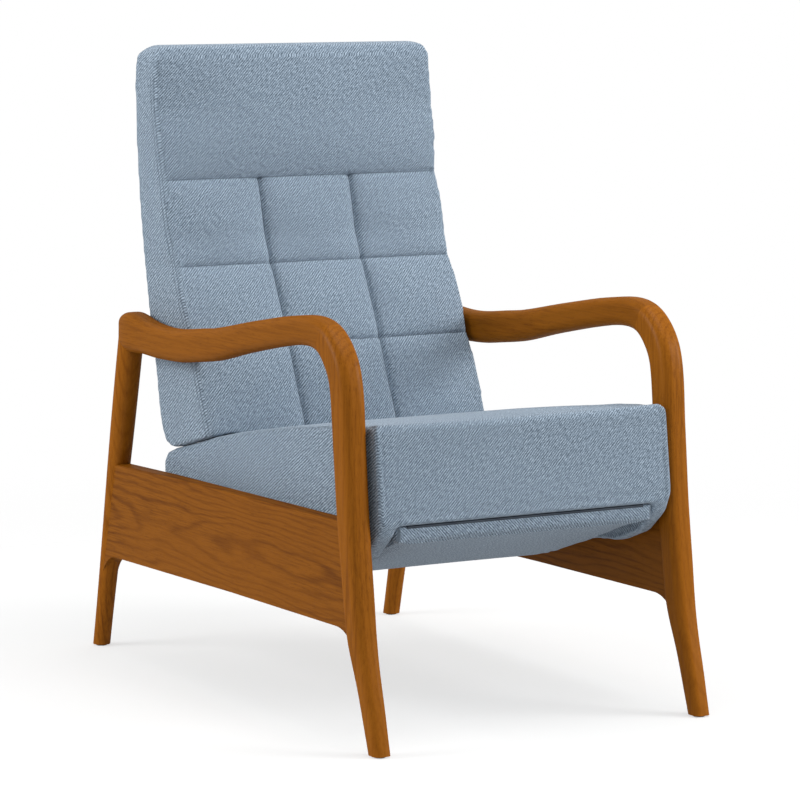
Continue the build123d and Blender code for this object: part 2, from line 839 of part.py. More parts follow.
def row_levels(low_z, high_z):
    """Heights of the rings of one row: along its crown and at the bends of the side seam."""
    levels = [low_z + (high_z - low_z) * share for share in ring_shares]
    bends = [point[1] for point in head_front if low_z < point[1] < high_z]
    for bend in bends:
        nearest = min(levels[1:-1], key=lambda level: abs(level - bend))
        if abs(nearest - bend) < ring_merge_share * (high_z - low_z):
            levels.remove(nearest)
        levels.append(bend)
    return sorted(levels)


def crown_share(z, low_z, high_z):
    """Height of the crown at z: full in the middle of a row, almost none at its seams."""
    full = math.sin(math.pi * (z - low_z) / (high_z - low_z))
    return seam_crown_share + (1 - seam_crown_share) * full


def make_tufted_pad():
    rings = []
    column = column_share * seat_half_width
    for low, high in zip(seam_levels, seam_levels[1:]):
        for z in row_levels(low, high):
            if rings and z == low:
                continue
            share = crown_share(z, low, high)
            half = seat_half_width - side_draw * (1 - share)
            rings.append(pad_ring(z, [-half, -column, column, half], tuft_crown * share))
    return loft(rings, ruled=True)


def make_head_panel():
    """The plain panel over the tufted one, rolled over at the top."""
    low_z = seam_levels[-1]
    levels = row_levels(low_z, back_front[-1][1])
    levels += [back_crest[0][1], crest_height]
    rings = []
    for z in levels:
        share = crown_share(z, low_z, crest_height)
        over = max(0, z - (crest_height - head_corner_radius))
        corner = head_corner_radius - math.sqrt(head_corner_radius ** 2 - over ** 2)
        half = seat_half_width - side_draw * (1 - share) - corner * head_corner_share
        rings.append(pad_ring(z, [-half, half], head_crown * share))
    return loft(rings, ruled=True)


def rounded_corners():
    """A tall mask with the rounded top corners of the back."""
    middle = crest_height / 2
    outline = Plane.XZ * Pos(0, middle) * RectangleRounded(
        2 * seat_half_width, crest_height, head_corner_radius
    )
    return extrude(outline, amount=2 * foot_reach, both=True)


tufted_pad = make_tufted_pad()
head_panel = make_head_panel()
cover_half = bracket_inner + plate_thickness


def make_boxing():
    """Padded side of the back, behind the front pads and a little under them."""
    outline = pad_rear + back_crest[2:] + back_rear + toe_line[::-1]
    outline += [(toe_tip, toe_top), (pad_rear[0][0], toe_top)]
    whole = slab(outline, cover_half + soft_clearance, seat_half_width)
    return whole & rounded_corners()


back_boxing = make_boxing()


def make_rear_cover():
    """Rear cover between the two boxings, with the top of the back."""
    outer = back_crest[2:] + back_rear[:-3]
    crest_front = (pad_rear[-1][0] + soft_clearance, crest_height)
    inner = [(point[0] - back_panel_thickness, point[1]) for point in reversed(back_rear[:-3])]
    inner += [
        (back_crest[3][0] - back_panel_thickness, back_crest[3][1]),
        (back_crest[2][0] - back_panel_thickness, back_crest[2][1] - back_panel_thickness),
        (crest_front[0], crest_front[1] - back_panel_thickness),
    ]
    return slab([crest_front] + outer + inner, -cover_half, cover_half)


back_rear_cover = make_rear_cover()


def make_bottom_cover():
    """Cover under the back, between its two levers."""
    over = (depth_on(pad_rear, stile_foot) + soft_clearance, stile_foot)
    half = lever_inner - stile_width / 2
    bottom = [(pad_rear[0][0] + soft_clearance, toe_top), (toe_tip, toe_top)]
    bottom += toe_line + back_rear[:-4:-1]
    top = [(point[0], point[1] + back_panel_thickness) for point in back_rear[-3:]]
    return slab(bottom + top + [over], -half, half)


back_bottom_cover = make_bottom_cover()

# Footrest: board, pad, piano hinge and crank plates
slope = math.radians(footrest_slope)


def on_board(along, down):
    """A point along the footrest board from the hinge axis."""
    return (
        footrest_axis[0] + along * math.cos(slope) - down * math.sin(slope),
        footrest_axis[1] - along * math.sin(slope) - down * math.cos(slope),
    )


footrest_pad_points = line(footrest_pad_shares, seat_height)
board_length = (footrest_pad_points[-1][0] - footrest_axis[0]) / math.cos(slope) - footrest_board_thickness
board_top = knuckle_radius + soft_clearance
footrest_board = slab(
    [
        on_board(board_start, board_top),
        on_board(board_length, board_top),
        on_board(board_length, board_top + footrest_board_thickness),
        on_board(board_start, board_top + footrest_board_thickness),
    ],
    -footrest_half_width, footrest_half_width,
)


def make_footrest_pad():
    pad_top = [
        on_board(board_length + footrest_board_thickness, board_top),
        on_board(2 * knuckle_radius, board_top),
    ]
    outline = footrest_pad_points[1:-1] + pad_top
    pad = slab(outline, -footrest_half_width, footrest_half_width)
    return pad - footrest_board


footrest_pad = make_footrest_pad()
leaf_half = footrest_half_width - 3 * knuckle_radius
leaf_width = seat_rail_thickness
knuckle_length = 2 * leaf_half / knuckle_count


def make_hinge_leaf(fixed):
    """Half of the piano hinge; its knuckles alternate with the other half's."""
    if fixed:
        leaf_rear = front_rail_front + seat_rail_thickness
        plate = slab(
            [
                footrest_axis,
                (footrest_axis[0] + knuckle_radius, footrest_axis[1]),
                (footrest_axis[0] + knuckle_radius, seat_front[1] - hinge_leaf),
                (leaf_rear, seat_front[1] - hinge_leaf),
                (leaf_rear, seat_front[1]),
                (footrest_axis[0], seat_front[1]),
            ],
            -leaf_half, leaf_half,
        )
    else:
        plate = slab(
            [
                on_board(knuckle_radius / 2, board_top - hinge_leaf),
                on_board(leaf_width, board_top - hinge_leaf),
                on_board(leaf_width, board_top),
                on_board(knuckle_radius / 2, board_top),
            ],
            -leaf_half, leaf_half,
        )
    for index in range(knuckle_count):
        low = -leaf_half + index * knuckle_length
        high = low + knuckle_length
        own = (index % 2 == 0) == fixed
        if own:
            plate = plate + rod_along_x(
                footrest_axis, knuckle_radius, low + running_clearance, high - running_clearance
            )
        else:
            plate = plate - rod_along_x(footrest_axis, knuckle_radius + soft_clearance, low, high)
    radius = knuckle_pin_radius + (running_clearance if fixed else 0)
    return plate - rod_along_x(footrest_axis, radius, -leaf_half, leaf_half)


fixed_leaf = make_hinge_leaf(True)
moving_leaf = make_hinge_leaf(False)
hinge_pin = rod_along_x(footrest_axis, knuckle_pin_radius, -leaf_half, leaf_half)
crank_plate = slab(
    [
        on_board(knuckle_radius, knuckle_radius / 2),
        (crank_pin[0] - rod_boss, crank_pin[1] + rod_boss / 3),
        (crank_pin[0], crank_pin[1] + rod_boss),
        (crank_pin[0] + rod_boss, crank_pin[1] + rod_boss / 3),
        on_board(board_length / 3, board_top),
        on_board(board_length / 3, board_top + footrest_board_thickness),
        on_board(2 * knuckle_radius, board_top + footrest_board_thickness),
    ],
    footrest_half_width, crank_inner + crank_plate_thickness,
)
crank_stub = rod_along_x(
    crank_pin, rod_pin_radius, crank_inner + crank_plate_thickness / 3, rod_inner - soft_clearance
)
crank_plate = crank_plate + crank_stub

# Drive rods from the levers to the cranks
rod_length = math.hypot(crank_pin[0] - lever_pin[0], crank_pin[1] - lever_pin[1])


def make_drive_rod():
    rod = plate_with_bosses(lever_pin, crank_pin, rod_boss, rod_boss, rod_inner, rod_outer)
    rod = rod - rod_along_x(lever_pin, rod_pin_radius + running_clearance, rod_inner, rod_outer)
    return rod - rod_along_x(crank_pin, rod_pin_radius + running_clearance, rod_inner, rod_outer)


drive_rod = make_drive_rod()


def put(name, shape):
    """Keep a node that lies on one side or on the middle."""
    parts[name] = shape


def put_pair(name, shape):
    parts[name + "_left"] = shape
    parts[name + "_right"] = other_side(shape)


def put_group(name, solids, both_sides):
    kept = list(solids)
    if both_sides:
        kept += [other_side(solid).solid() for solid in solids]
    parts[name] = Compound(children=[Part(solid.wrapped) for solid in kept])


put_pair("arm", arm)
put_pair("front_leg", front_leg)
put_pair("rear_leg", rear_leg)
put_pair("side_rail", side_rail)
put_group("foot_glides", [front_glide.solid(), rear_glide.solid()], True)
put("rear_stretcher", rear_stretcher)
put("mid_stretcher", mid_stretcher)
put_pair("seat_track", seat_track)
put_group("track_screws", track_screws, True)
put_group("glide_shoes", [shoe.solid() for shoe in shoes], True)
put_group("shoe_studs", [stud.solid() for stud in studs], True)
put_pair("seat_board", seat_board)
put("seat_front_rail", front_rail)
put("seat_rear_rail", rear_rail)
spring_gap = 2 * board_inner / (spring_count + 1)
spring_places = [-board_inner + spring_gap * (index + 1) for index in range(spring_count)]
put_group("seat_springs", [make_spring(x).solid() for x in spring_places], False)
put("seat_cushion", seat_cushion)
put_pair("seat_side_pad", cheek)
put("seat_rear_panel", seat_rear_panel)
put_pair("recline_bracket", recline_bracket)
put_group("recline_pins", [recline_pin.solid()], True)
put_group("bracket_screws", bracket_screws, True)
put_pair("back_stile", stile)
put_group("back_cross_rails", cross_rails, False)
put_group("back_webbing", webbing, False)
put_pair("back_side_plate", side_plate)
put_group("back_plate_screws", plate_screws, True)
put_group("rod_pins", [rod_pin.solid()], True)
put("back_tufted_pad", tufted_pad)
put("back_head_panel", head_panel)
put_pair("back_boxing", back_boxing)
put("back_rear_cover", back_rear_cover)
put("back_bottom_cover", back_bottom_cover)
put("footrest_board", footrest_board)
put("footrest_pad", footrest_pad)
put("footrest_hinge_fixed_leaf", fixed_leaf)
put("footrest_hinge_moving_leaf", moving_leaf)
put("footrest_hinge_pin", hinge_pin)
put_pair("footrest_crank_plate", crank_plate)
put_pair("drive_rod", drive_rod)

os.makedirs("parts", exist_ok=True)
for name, shape in parts.items():
    export_step(shape, "parts/" + name + ".step")

swing_share = math.radians(footrest_swing) / math.radians(recline_angle)
end_pin = turned(lever_pin, pivot, recline_angle)
end_crank = turned(crank_pin, footrest_axis, footrest_swing)
start_rise = math.atan2(crank_pin[1] - lever_pin[1], lever_pin[0] - crank_pin[0])
end_rise = math.atan2(end_crank[1] - end_pin[1], end_pin[0] - end_crank[0])
print("recline pivot", pivot)
print("footrest axis", footrest_axis)
print("lever pin", lever_pin, "to", end_pin)
print("crank pin", crank_pin, "to", end_crank)
print("crank radius", crank_radius, "rod length", rod_length)
print("rod length at full recline", math.dist(end_pin, end_crank))
print("rod turn in degrees", math.degrees(end_rise - start_rise))
print("footrest ratio", swing_share, "glide direction", glide_run)
print("glide travel per radian", glide_travel / math.radians(recline_angle))
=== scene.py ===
import math

import bmesh
import bpy
import numpy as np
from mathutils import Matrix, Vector


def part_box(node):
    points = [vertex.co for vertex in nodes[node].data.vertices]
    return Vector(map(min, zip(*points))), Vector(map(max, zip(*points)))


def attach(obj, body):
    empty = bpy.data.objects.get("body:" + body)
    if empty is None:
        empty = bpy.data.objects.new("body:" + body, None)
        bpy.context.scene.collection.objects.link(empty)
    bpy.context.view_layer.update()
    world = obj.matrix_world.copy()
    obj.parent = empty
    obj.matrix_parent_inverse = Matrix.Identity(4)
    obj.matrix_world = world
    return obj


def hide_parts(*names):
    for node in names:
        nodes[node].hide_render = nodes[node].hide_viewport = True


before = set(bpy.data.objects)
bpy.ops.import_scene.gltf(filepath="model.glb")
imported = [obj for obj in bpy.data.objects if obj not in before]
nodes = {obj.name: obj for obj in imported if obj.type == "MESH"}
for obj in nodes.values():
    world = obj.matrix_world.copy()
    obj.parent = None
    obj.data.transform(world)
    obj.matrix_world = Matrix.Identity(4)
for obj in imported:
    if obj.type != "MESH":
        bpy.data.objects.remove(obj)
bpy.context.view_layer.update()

# Viewpoint: a long lens at chair height, off the sitter's right front,
# as the photograph was taken.
camera_place = (-2.794345, -4.961612, 1.194038)
camera_azimuth = math.radians(-29.618)
camera_elevation = math.radians(7.376)
lens_pixels = 3565.28
frame_pixels = 800
sensor_width = 36.0
sight = Vector((
    -math.sin(camera_azimuth) * math.cos(camera_elevation),
    math.cos(camera_azimuth) * math.cos(camera_elevation),
    -math.sin(camera_elevation),
))
camera_data = bpy.data.cameras.new("camera")
camera_data.sensor_width = sensor_width
camera_data.lens = lens_pixels / frame_pixels * sensor_width
camera_data.clip_end = 50.0
camera = bpy.data.objects.new("camera", camera_data)
camera.location = camera_place
camera.rotation_euler = sight.to_track_quat("-Z", "Y").to_euler()
bpy.context.scene.collection.objects.link(camera)
bpy.context.scene.camera = camera
bpy.context.scene.view_settings.view_transform = "Standard"

# Studio: a white paper floor in an even white room that fills the shadows,
# with a soft box on the sitter's left, one overhead and one on the right.
class Wire:
    """One output in a material's node tree; sums on it add their Math nodes."""

    def __init__(self, tree, socket):
        self.tree = tree
        self.socket = socket

    def add(self, kind, settings, sockets, output=0):
        """A new node with its settings made first, then its sockets filled or linked."""
        node = self.tree.nodes.new(kind)
        for name, value in settings.items():
            setattr(node, name, value)
        for name, value in sockets.items():
            if isinstance(value, Wire):
                self.tree.links.new(value.socket, node.inputs[name])
            else:
                node.inputs[name].default_value = value
        return Wire(self.tree, node.outputs[output])

    def maths(self, operation, first, second=0.0):
        """One Math node."""
        return self.add("ShaderNodeMath", {"operation": operation}, {0: first, 1: second})

    def __add__(self, other):
        return self.maths("ADD", self, other)

    def __radd__(self, other):
        return self.maths("ADD", other, self)

    def __sub__(self, other):
        return self.maths("SUBTRACT", self, other)

    def __rsub__(self, other):
        return self.maths("SUBTRACT", other, self)

    def __mul__(self, other):
        return self.maths("MULTIPLY", self, other)

    def __rmul__(self, other):
        return self.maths("MULTIPLY", other, self)

    def __pow__(self, other):
        return self.maths("POWER", self, other)

    def wave(self, period):
        """A smooth 0 to 1 ripple that repeats every period."""
        turn = self.maths("MULTIPLY", self, 2 * math.pi / period)
        return 0.5 + 0.5 * self.maths("SINE", turn)

    def between(self, low, high):
        """0 below low, 1 above high and a smooth step in between."""
        return self.add(
            "ShaderNodeMapRange",
            {"interpolation_type": "SMOOTHSTEP"},
            {"Value": self, "From Min": low, "From Max": high},
        )

    def part(self, name):
        """One part of a vector: X, Y or Z."""
        return self.add("ShaderNodeSeparateXYZ", {}, {0: self}, output=name)

    def blend(self, first, second):
        """A colour between two colours, by this value."""
        return self.add(
            "ShaderNodeMix",
            {"data_type": "RGBA"},
            {0: self, 6: first, 7: second},
            output=2,
        )

    def object_place(self):
        """Where a point is on its piece's own axes."""
        return self.add("ShaderNodeTexCoord", {}, {}, output="Object")

    def stretched(self, scale):
        """This place, scaled along each axis."""
        return self.add("ShaderNodeMapping", {}, {"Vector": self, "Scale": scale})

    def noise(self, scale, detail):
        """A soft random pattern on this place."""
        return self.add(
            "ShaderNodeTexNoise", {}, {"Vector": self, "Scale": scale, "Detail": detail}
        )


def new_material(name, metal=0.0):
    """A material with its surface shader, and a wire to start its patterns from."""
    material = bpy.data.materials.new(name)
    material.use_nodes = True
    shader = material.node_tree.nodes["Principled BSDF"]
    shader.inputs["Metallic"].default_value = metal
    return material, shader, Wire(material.node_tree, None)


def fill(shader, wire, **values):
    """Sockets of the surface shader, by name with _ for a space."""
    for name, value in values.items():
        socket = shader.inputs[name.replace("_", " ")]
        if isinstance(value, Wire):
            wire.tree.links.new(value.socket, socket)
        else:
            socket.default_value = value


def bumped(wire, height, depth):
    """A normal from a height that is worth depth metres."""
    return wire.add("ShaderNodeBump", {}, {"Height": height, "Distance": depth, "Strength": 1.0})


def mesh_data(name, mesh):
    """A bmesh as mesh data."""
    data = bpy.data.meshes.new(name)
    mesh.to_mesh(data)
    mesh.free()
    return data


def mesh_object(name, mesh):
    """A bmesh as an object at the origin."""
    made = bpy.data.objects.new(name, mesh_data(name, mesh))
    bpy.context.scene.collection.objects.link(made)
    return made


floor_half = 9.0
floor_mesh = bmesh.new()
bmesh.ops.create_grid(floor_mesh, x_segments=1, y_segments=1, size=floor_half)
studio_floor = mesh_object("studio_floor", floor_mesh)
paper, paper_shader, paper_wire = new_material("studio_paper")
paper_place = paper_wire.object_place()
paper_away = paper_wire.add("ShaderNodeVectorMath", {"operation": "LENGTH"}, {0: paper_place}, 1)
paper_share = 0.38
fade_start = 0.9
fade_end = 2.4
fill(
    paper_shader, paper_wire, Base_Color=(0.93, 0.93, 0.93, 1.0), Roughness=0.9,
    Alpha=paper_share * (1.0 - paper_away.between(fade_start, fade_end)),
    Specular_IOR_Level=0.0,
)
studio_floor.data.materials.append(paper)

world = bpy.data.worlds.new("studio_room")
bpy.context.scene.world = world
world.use_nodes = True
room = world.node_tree
background = room.nodes["Background"]
rays = room.nodes.new("ShaderNodeLightPath")
seen = Wire(room, rays.outputs["Is Camera Ray"])
mirrored = Wire(room, rays.outputs["Is Glossy Ray"])
through = Wire(room, rays.outputs["Is Transmission Ray"])
white_rays = seen + mirrored + through
white_share = white_rays.maths("MINIMUM", white_rays, 1.0)
room_level = 0.46
strength = room_level + (1.0 - room_level) * white_share
background.inputs["Color"].default_value = (1.0, 1.0, 1.0, 1.0)
room.links.new(strength.socket, background.inputs["Strength"])


def soft_box(name, place, aim, size, power):
    """A square lamp that looks from place to aim."""
    lamp_data = bpy.data.lights.new(name, "AREA")
    lamp_data.shape = "SQUARE"
    lamp_data.size = size
    lamp_data.energy = power
    lamp = bpy.data.objects.new(name, lamp_data)
    lamp.location = place
    aim_line = Vector(aim) - Vector(place)
    lamp.rotation_euler = aim_line.to_track_quat("-Z", "Y").to_euler()
    bpy.context.scene.collection.objects.link(lamp)


soft_box("key_box", place=(3.3, -2.6, 2.1), aim=(0.0, 0.0, 0.5), size=1.8, power=125.0)
soft_box("top_box", place=(0.3, -0.6, 3.6), aim=(0.0, 0.0, 0.4), size=2.4, power=60.0)
soft_box("side_box", place=(-3.6, 1.1, 1.9), aim=(0.0, 0.0, 0.5), size=1.8, power=95.0)

# Side frames: arms, legs and rails sawn and shaped from solid hardwood,
# stained caramel brown and finished with a satin lacquer.
wood_light = (0.280, 0.092, 0.0062)
wood_middle = (0.192, 0.057, 0.0024)
wood_dark = (0.068, 0.015, 0.0010)


def frame_wood(name, grain, seed, figure, ring_share, tone_factor):
    """Stained wood whose grain runs along an axis; figure is how far the rings wander."""
    light, middle, deep = [
        (*(part * tone_factor for part in colour), 1.0) for colour in (wood_light, wood_middle, wood_dark)
    ]
    material, shader, wire = new_material(name)
    turn = {"X": (0.0, 0.0, math.pi / 2), "Y": (0.0, 0.0, 0.0), "Z": (math.pi / 2, 0.0, 0.0)}
    along = wire.add("ShaderNodeMapping", {}, {
        "Vector": wire.object_place(), "Rotation": turn[grain], "Location": seed,
    })
    sway = along.stretched((9.0, 2.3, 9.0)).noise(1.0, detail=3.0)
    streak = along.stretched((420.0, 16.0, 420.0)).noise(1.0, detail=4.0)
    pores = along.stretched((1500.0, 55.0, 1500.0)).noise(1.0, detail=2.0)
    cloud = along.stretched((14.0, 3.0, 14.0)).noise(1.0, detail=2.0)
    across = along.part("X")
    up = along.part("Z")
    ring_gap = 0.0092
    rings = ((across * across + up * up) ** 0.5 + figure * sway).wave(ring_gap)
    pore = pores.between(0.6, 0.72)
    streak_share = 0.42
    pore_share = 0.22
    dark = ring_share * (rings ** 4.0) + streak_share * streak.between(0.38, 0.75)
    dark = dark + pore_share * pore
    colour = dark.blend(light, middle)
    deep_share = 0.75
    deep_pore_share = 0.28
    deepened = deep_share * dark * cloud.between(0.30, 0.75) + deep_pore_share * pore
    pore_depth = 0.00012
    height = 0.5 * (1.0 - pore) + 0.12 * streak
    fill(
        shader, wire, Base_Color=deepened.blend(colour, deep),
        Roughness=0.36 + 0.1 * streak + 0.08 * pore,
        Normal=bumped(wire, height, pore_depth), Specular_IOR_Level=0.0,
        Coat_Weight=0.14, Coat_Roughness=0.38,
    )
    return material


def dress(piece, material):
    """Gives the piece this material in place of any it had."""
    piece.data.materials.clear()
    piece.data.materials.append(material)


# Each piece's grain axis, its place in the log, ring wander, ring share and a factor that makes its
# wood lighter or darker.
wood_grains = {
    "arm_left": ("Y", (0.21, 0.3, -0.57), 0.030, 0.16, 0.92),
    "arm_right": ("Y", (0.33, 1.7, -0.58), 0.032, 0.16, 0.92),
    "front_leg_left": ("Z", (-0.31, 2.1, 0.43), 0.030, 0.26, 1.12),
    "front_leg_right": ("Z", (0.25, 3.4, 0.45), 0.030, 0.26, 1.06),
    "rear_leg_left": ("Z", (-0.3, 4.6, -0.46), 0.016, 0.36, 1.08),
    "rear_leg_right": ("Z", (0.27, 5.2, -0.44), 0.016, 0.36, 1.08),
    "side_rail_left": ("Y", (-0.235, 6.3, -0.255), 0.060, 0.44, 0.87),
    "side_rail_right": ("Y", (0.235, 7.9, -0.245), 0.060, 0.44, 0.87),
    "rear_stretcher": ("X", (-0.35, 8.2, -0.22), 0.02, 0.4, 0.9),
    "mid_stretcher": ("X", (-0.02, 9.1, -0.22), 0.02, 0.4, 0.9),
}
for node_name, (grain, seed, figure, ring_share, tone_factor) in wood_grains.items():
    wood = frame_wood(node_name + "_wood", grain, seed, figure, ring_share, tone_factor)
    dress(nodes[node_name], wood)

# Seat and back frames: unfinished pale hardwood boards and rails
# that the covers are stapled to.
def inner_wood(name, grain):
    """Raw pale wood whose grain runs along an axis."""
    material, shader, wire = new_material(name)
    scales = {"X": (3.0, 60.0, 60.0), "Y": (60.0, 3.0, 60.0), "Z": (60.0, 60.0, 3.0)}
    growth = wire.object_place().stretched(scales[grain]).noise(1.0, detail=5.0)
    band = growth.between(0.35, 0.7)
    colour = band.blend((0.60, 0.42, 0.24, 1.0), (0.42, 0.27, 0.13, 1.0))
    fill(
        shader, wire, Base_Color=colour, Roughness=0.68 + 0.1 * band,
        Normal=bumped(wire, growth, 0.0001),
    )
    return material


inner_grains = {
    "seat_board_left": "Y", "seat_board_right": "Y", "seat_front_rail": "X",
    "seat_rear_rail": "X", "back_stile_left": "Z", "back_stile_right": "Z",
    "back_cross_rails": "X", "footrest_board": "X",
}
for node_name, grain in inner_grains.items():
    dress(nodes[node_name], inner_wood(node_name + "_wood", grain))

# Mechanism: zinc-plated steel channels, plates, rods, pins and screws, a footrest hinge with its
# cranks in a dark blue-grey that is painted shade, standing in for the shadow under the seat's front
# edge, and drawn wire springs under the cushion.
def metal(name, light, dark, rough):
    """Brushed metal that is clouded from a light to a dark colour."""
    material, shader, wire = new_material(name, metal=1.0)
    place = wire.object_place()
    lines = place.stretched((900.0, 60.0, 900.0)).noise(1.0, detail=2.0)
    cloud = place.noise(35.0, detail=3.0)
    fill(
        shader, wire, Base_Color=cloud.between(0.3, 0.7).blend(light, dark),
        Roughness=rough + 0.12 * lines, Normal=bumped(wire, lines, 0.00003),
    )
    return material


zinc = metal("zinc_plate", (0.62, 0.62, 0.61, 1.0), (0.46, 0.46, 0.46, 1.0), 0.3)
# Hinge and cranks: a dark blue-grey that is painted shade, so they read as the shadow line under the
# seat's front edge.
shade_painted_steel = metal("shade_painted_steel_finish", (0.060, 0.072, 0.088, 1.0), (0.040, 0.048, 0.060, 1.0), 0.6)
drawn_wire = metal("drawn_wire", (0.23, 0.23, 0.24, 1.0), (0.12, 0.12, 0.13, 1.0), 0.35)
metal_nodes = [
    (zinc, [
        "seat_track_left", "seat_track_right", "track_screws", "shoe_studs", "recline_bracket_left",
        "recline_bracket_right", "recline_pins", "bracket_screws", "back_side_plate_left",
        "back_side_plate_right", "back_plate_screws", "rod_pins", "drive_rod_left",
        "drive_rod_right",
    ]),
    (shade_painted_steel, [
        "footrest_hinge_fixed_leaf", "footrest_hinge_moving_leaf", "footrest_hinge_pin",
        "footrest_crank_plate_left", "footrest_crank_plate_right",
    ]),
    (drawn_wire, ["seat_springs"]),
]
for metal_finish, node_names in metal_nodes:
    for node_name in node_names:
        dress(nodes[node_name], metal_finish)

# Glides and sliding shoes: black moulded nylon. The glides plug into the feet,
# and the shoes hang on studs in the seat boards and run in the tracks.
nylon, nylon_shader, nylon_wire = new_material("black_nylon")
nylon_grain = nylon_wire.object_place().noise(700.0, detail=2.0)
fill(
    nylon_shader, nylon_wire,
    Base_Color=nylon_grain.blend((0.018, 0.018, 0.018, 1.0), (0.03, 0.03, 0.03, 1.0)),
    Roughness=0.5 + 0.1 * nylon_grain, Normal=bumped(nylon_wire, nylon_grain, 0.00004),
)
for node_name in ["foot_glides", "glide_shoes"]:
    dress(nodes[node_name], nylon)

# Back webbing: black elastic straps, stretched across the stiles behind
# the pads and stapled at both ends.
webbing, webbing_shader, webbing_wire = new_material("elastic_webbing")
webbing_place = webbing_wire.object_place()
ribs = webbing_place.part("Z").wave(0.0016) * webbing_place.part("X").wave(0.003)
fill(
    webbing_shader, webbing_wire,
    Base_Color=ribs.blend((0.012, 0.012, 0.013, 1.0), (0.05, 0.05, 0.052, 1.0)),
    Roughness=0.8, Normal=bumped(webbing_wire, ribs, 0.0004),
)
dress(nodes["back_webbing"], webbing)

# Seat upholstery: one blue-grey twill cover over foam, stapled under the seat
# frame. The top rolls over the front edge into the apron, and a panel is sewn
# on each side.
yarn_light = (0.455, 0.560, 0.672, 1.0)
yarn_middle = (0.208, 0.271, 0.343, 1.0)
yarn_dark = (0.060, 0.086, 0.117, 1.0)


def twill_cloth(name, sewn=()):
    """Melange twill laid out by the piece's UV map, with seams painted darker as shade; sewn lists
    straight seams on that map.
    """
    material, shader, wire = new_material(name)
    weave = wire.add("ShaderNodeUVMap", {"uv_map": "weave"}, {})
    place = wire.object_place()
    u = weave.part("X")
    v = weave.part("Y")
    ridge_gap = 0.0048
    ridge_wander = 0.0016
    yarn_gap = 0.0013
    ridge = (u - v + ridge_wander * place.noise(55.0, detail=2.0)).wave(ridge_gap)
    yarn = (v + 0.6 * u).wave(yarn_gap)
    speckle = weave.noise(560.0, detail=3.0)
    diagonal = wire.add(
        "ShaderNodeMapping", {}, {"Vector": weave, "Rotation": (0.0, 0.0, -math.pi / 4)}
    )
    slub = diagonal.stretched((150.0, 470.0, 1.0)).noise(1.0, detail=2.0)
    cloud = place.noise(9.0, detail=2.0)
    tone = 0.44 * ridge + 0.28 * speckle.between(0.3, 0.7) + 0.34 * slub.between(0.3, 0.7)
    tone = tone + 0.05 * cloud - 0.07
    colour = tone.between(0.08, 0.50).blend(yarn_dark, yarn_middle)
    colour = tone.between(0.46, 0.92).blend(colour, yarn_light)
    # Painted shade: the seam attribute and the sewn lines darken the colour towards the dark yarn,
    # standing in for shade in the seams' creases.
    seam = wire.add("ShaderNodeAttribute", {"attribute_name": "seam"}, {}, output="Fac")
    seam_core = 0.0003
    seam_edge = 0.0014
    fade = 0.002
    for runs_up, place_on, low, high, weight in sewn:
        across, run = (u, v) if runs_up else (v, u)
        gap = ((across - place_on) * (across - place_on)) ** 0.5
        span = run.between(low - fade, low + fade) - run.between(high - fade, high + fade)
        seam = seam + weight * (1.0 - gap.between(seam_core, seam_edge)) * span
    seam_shade = 0.55
    colour = (seam_shade * seam.between(0.0, 1.0)).blend(colour, yarn_dark)
    weave_depth = 0.0005
    height = 0.7 * ridge + 0.25 * yarn + 0.3 * speckle
    fill(
        shader, wire, Base_Color=colour, Roughness=0.92,
        Normal=bumped(wire, height, weave_depth), Specular_IOR_Level=0.25,
        Sheen_Weight=0.12, Sheen_Roughness=0.5,
    )
    return material


twill = twill_cloth("blue_grey_twill")


def cad_copy(node_names):
    """Merged copies of CAD solids, joined into one bmesh."""
    joined = bmesh.new()
    for node_name in node_names:
        joined.from_mesh(nodes[node_name].data)
    bmesh.ops.remove_doubles(joined, verts=joined.verts, dist=0.00002)
    return joined


def apply_modifiers(piece):
    """Makes the piece's mesh what its modifiers leave of it."""
    graph = bpy.context.evaluated_depsgraph_get()
    graph.update()
    done = bpy.data.meshes.new_from_object(piece.evaluated_get(graph))
    piece.modifiers.clear()
    piece.data = done


def remeshed(piece, voxel):
    """Makes the piece one even closed skin."""
    skin = piece.modifiers.new("skin", "REMESH")
    skin.mode = "VOXEL"
    skin.voxel_size = voxel
    apply_modifiers(piece)


def vertex_values(piece, kind):
    """One row of three for each vertex of the piece."""
    got = np.zeros(len(piece.data.vertices) * 3)
    piece.data.vertices.foreach_get(kind, got)
    return got.reshape(-1, 3)


def places(piece):
    """The piece's vertices as an array."""
    return vertex_values(piece, "co")


def outward(piece):
    """The skin's normals at its vertices."""
    return vertex_values(piece, "normal")


def set_places(piece, moved):
    """Puts the piece's vertices at new places."""
    piece.data.vertices.foreach_set("co", np.asarray(moved, float).ravel())
    piece.data.update()


def plumped(piece, pressure, cap, held):
    """Air pressure inside the cover fills it out; held is how firmly each point keeps its place."""
    start = places(piece)
    group = piece.vertex_groups.new(name="sewn")
    least_hold = 0.02
    for index in np.nonzero(held > least_hold)[0]:
        group.add([int(index)], float(held[index]), "REPLACE")
    cloth = piece.modifiers.new("filling", "CLOTH")
    cloth.settings.use_pressure = True
    cloth.settings.uniform_pressure_force = pressure
    cloth.settings.effector_weights.gravity = 0.0
    cloth.settings.quality = 3
    cloth.settings.mass = 0.4
    cloth.settings.tension_stiffness = 18.0
    cloth.settings.compression_stiffness = 18.0
    cloth.settings.shear_stiffness = 6.0
    cloth.settings.bending_stiffness = 1.5
    cloth.settings.vertex_group_mass = "sewn"
    cloth.collision_settings.use_collision = False
    scene = bpy.context.scene
    last_frame = 20
    for step in range(1, last_frame + 1):
        scene.frame_set(step)
    apply_modifiers(piece)
    scene.frame_set(1)
    moved = places(piece) - start
    length = np.linalg.norm(moved, axis=1, keepdims=True)
    moved *= np.minimum(1.0, cap / np.maximum(length, 1e-9))
    set_places(piece, start + moved)


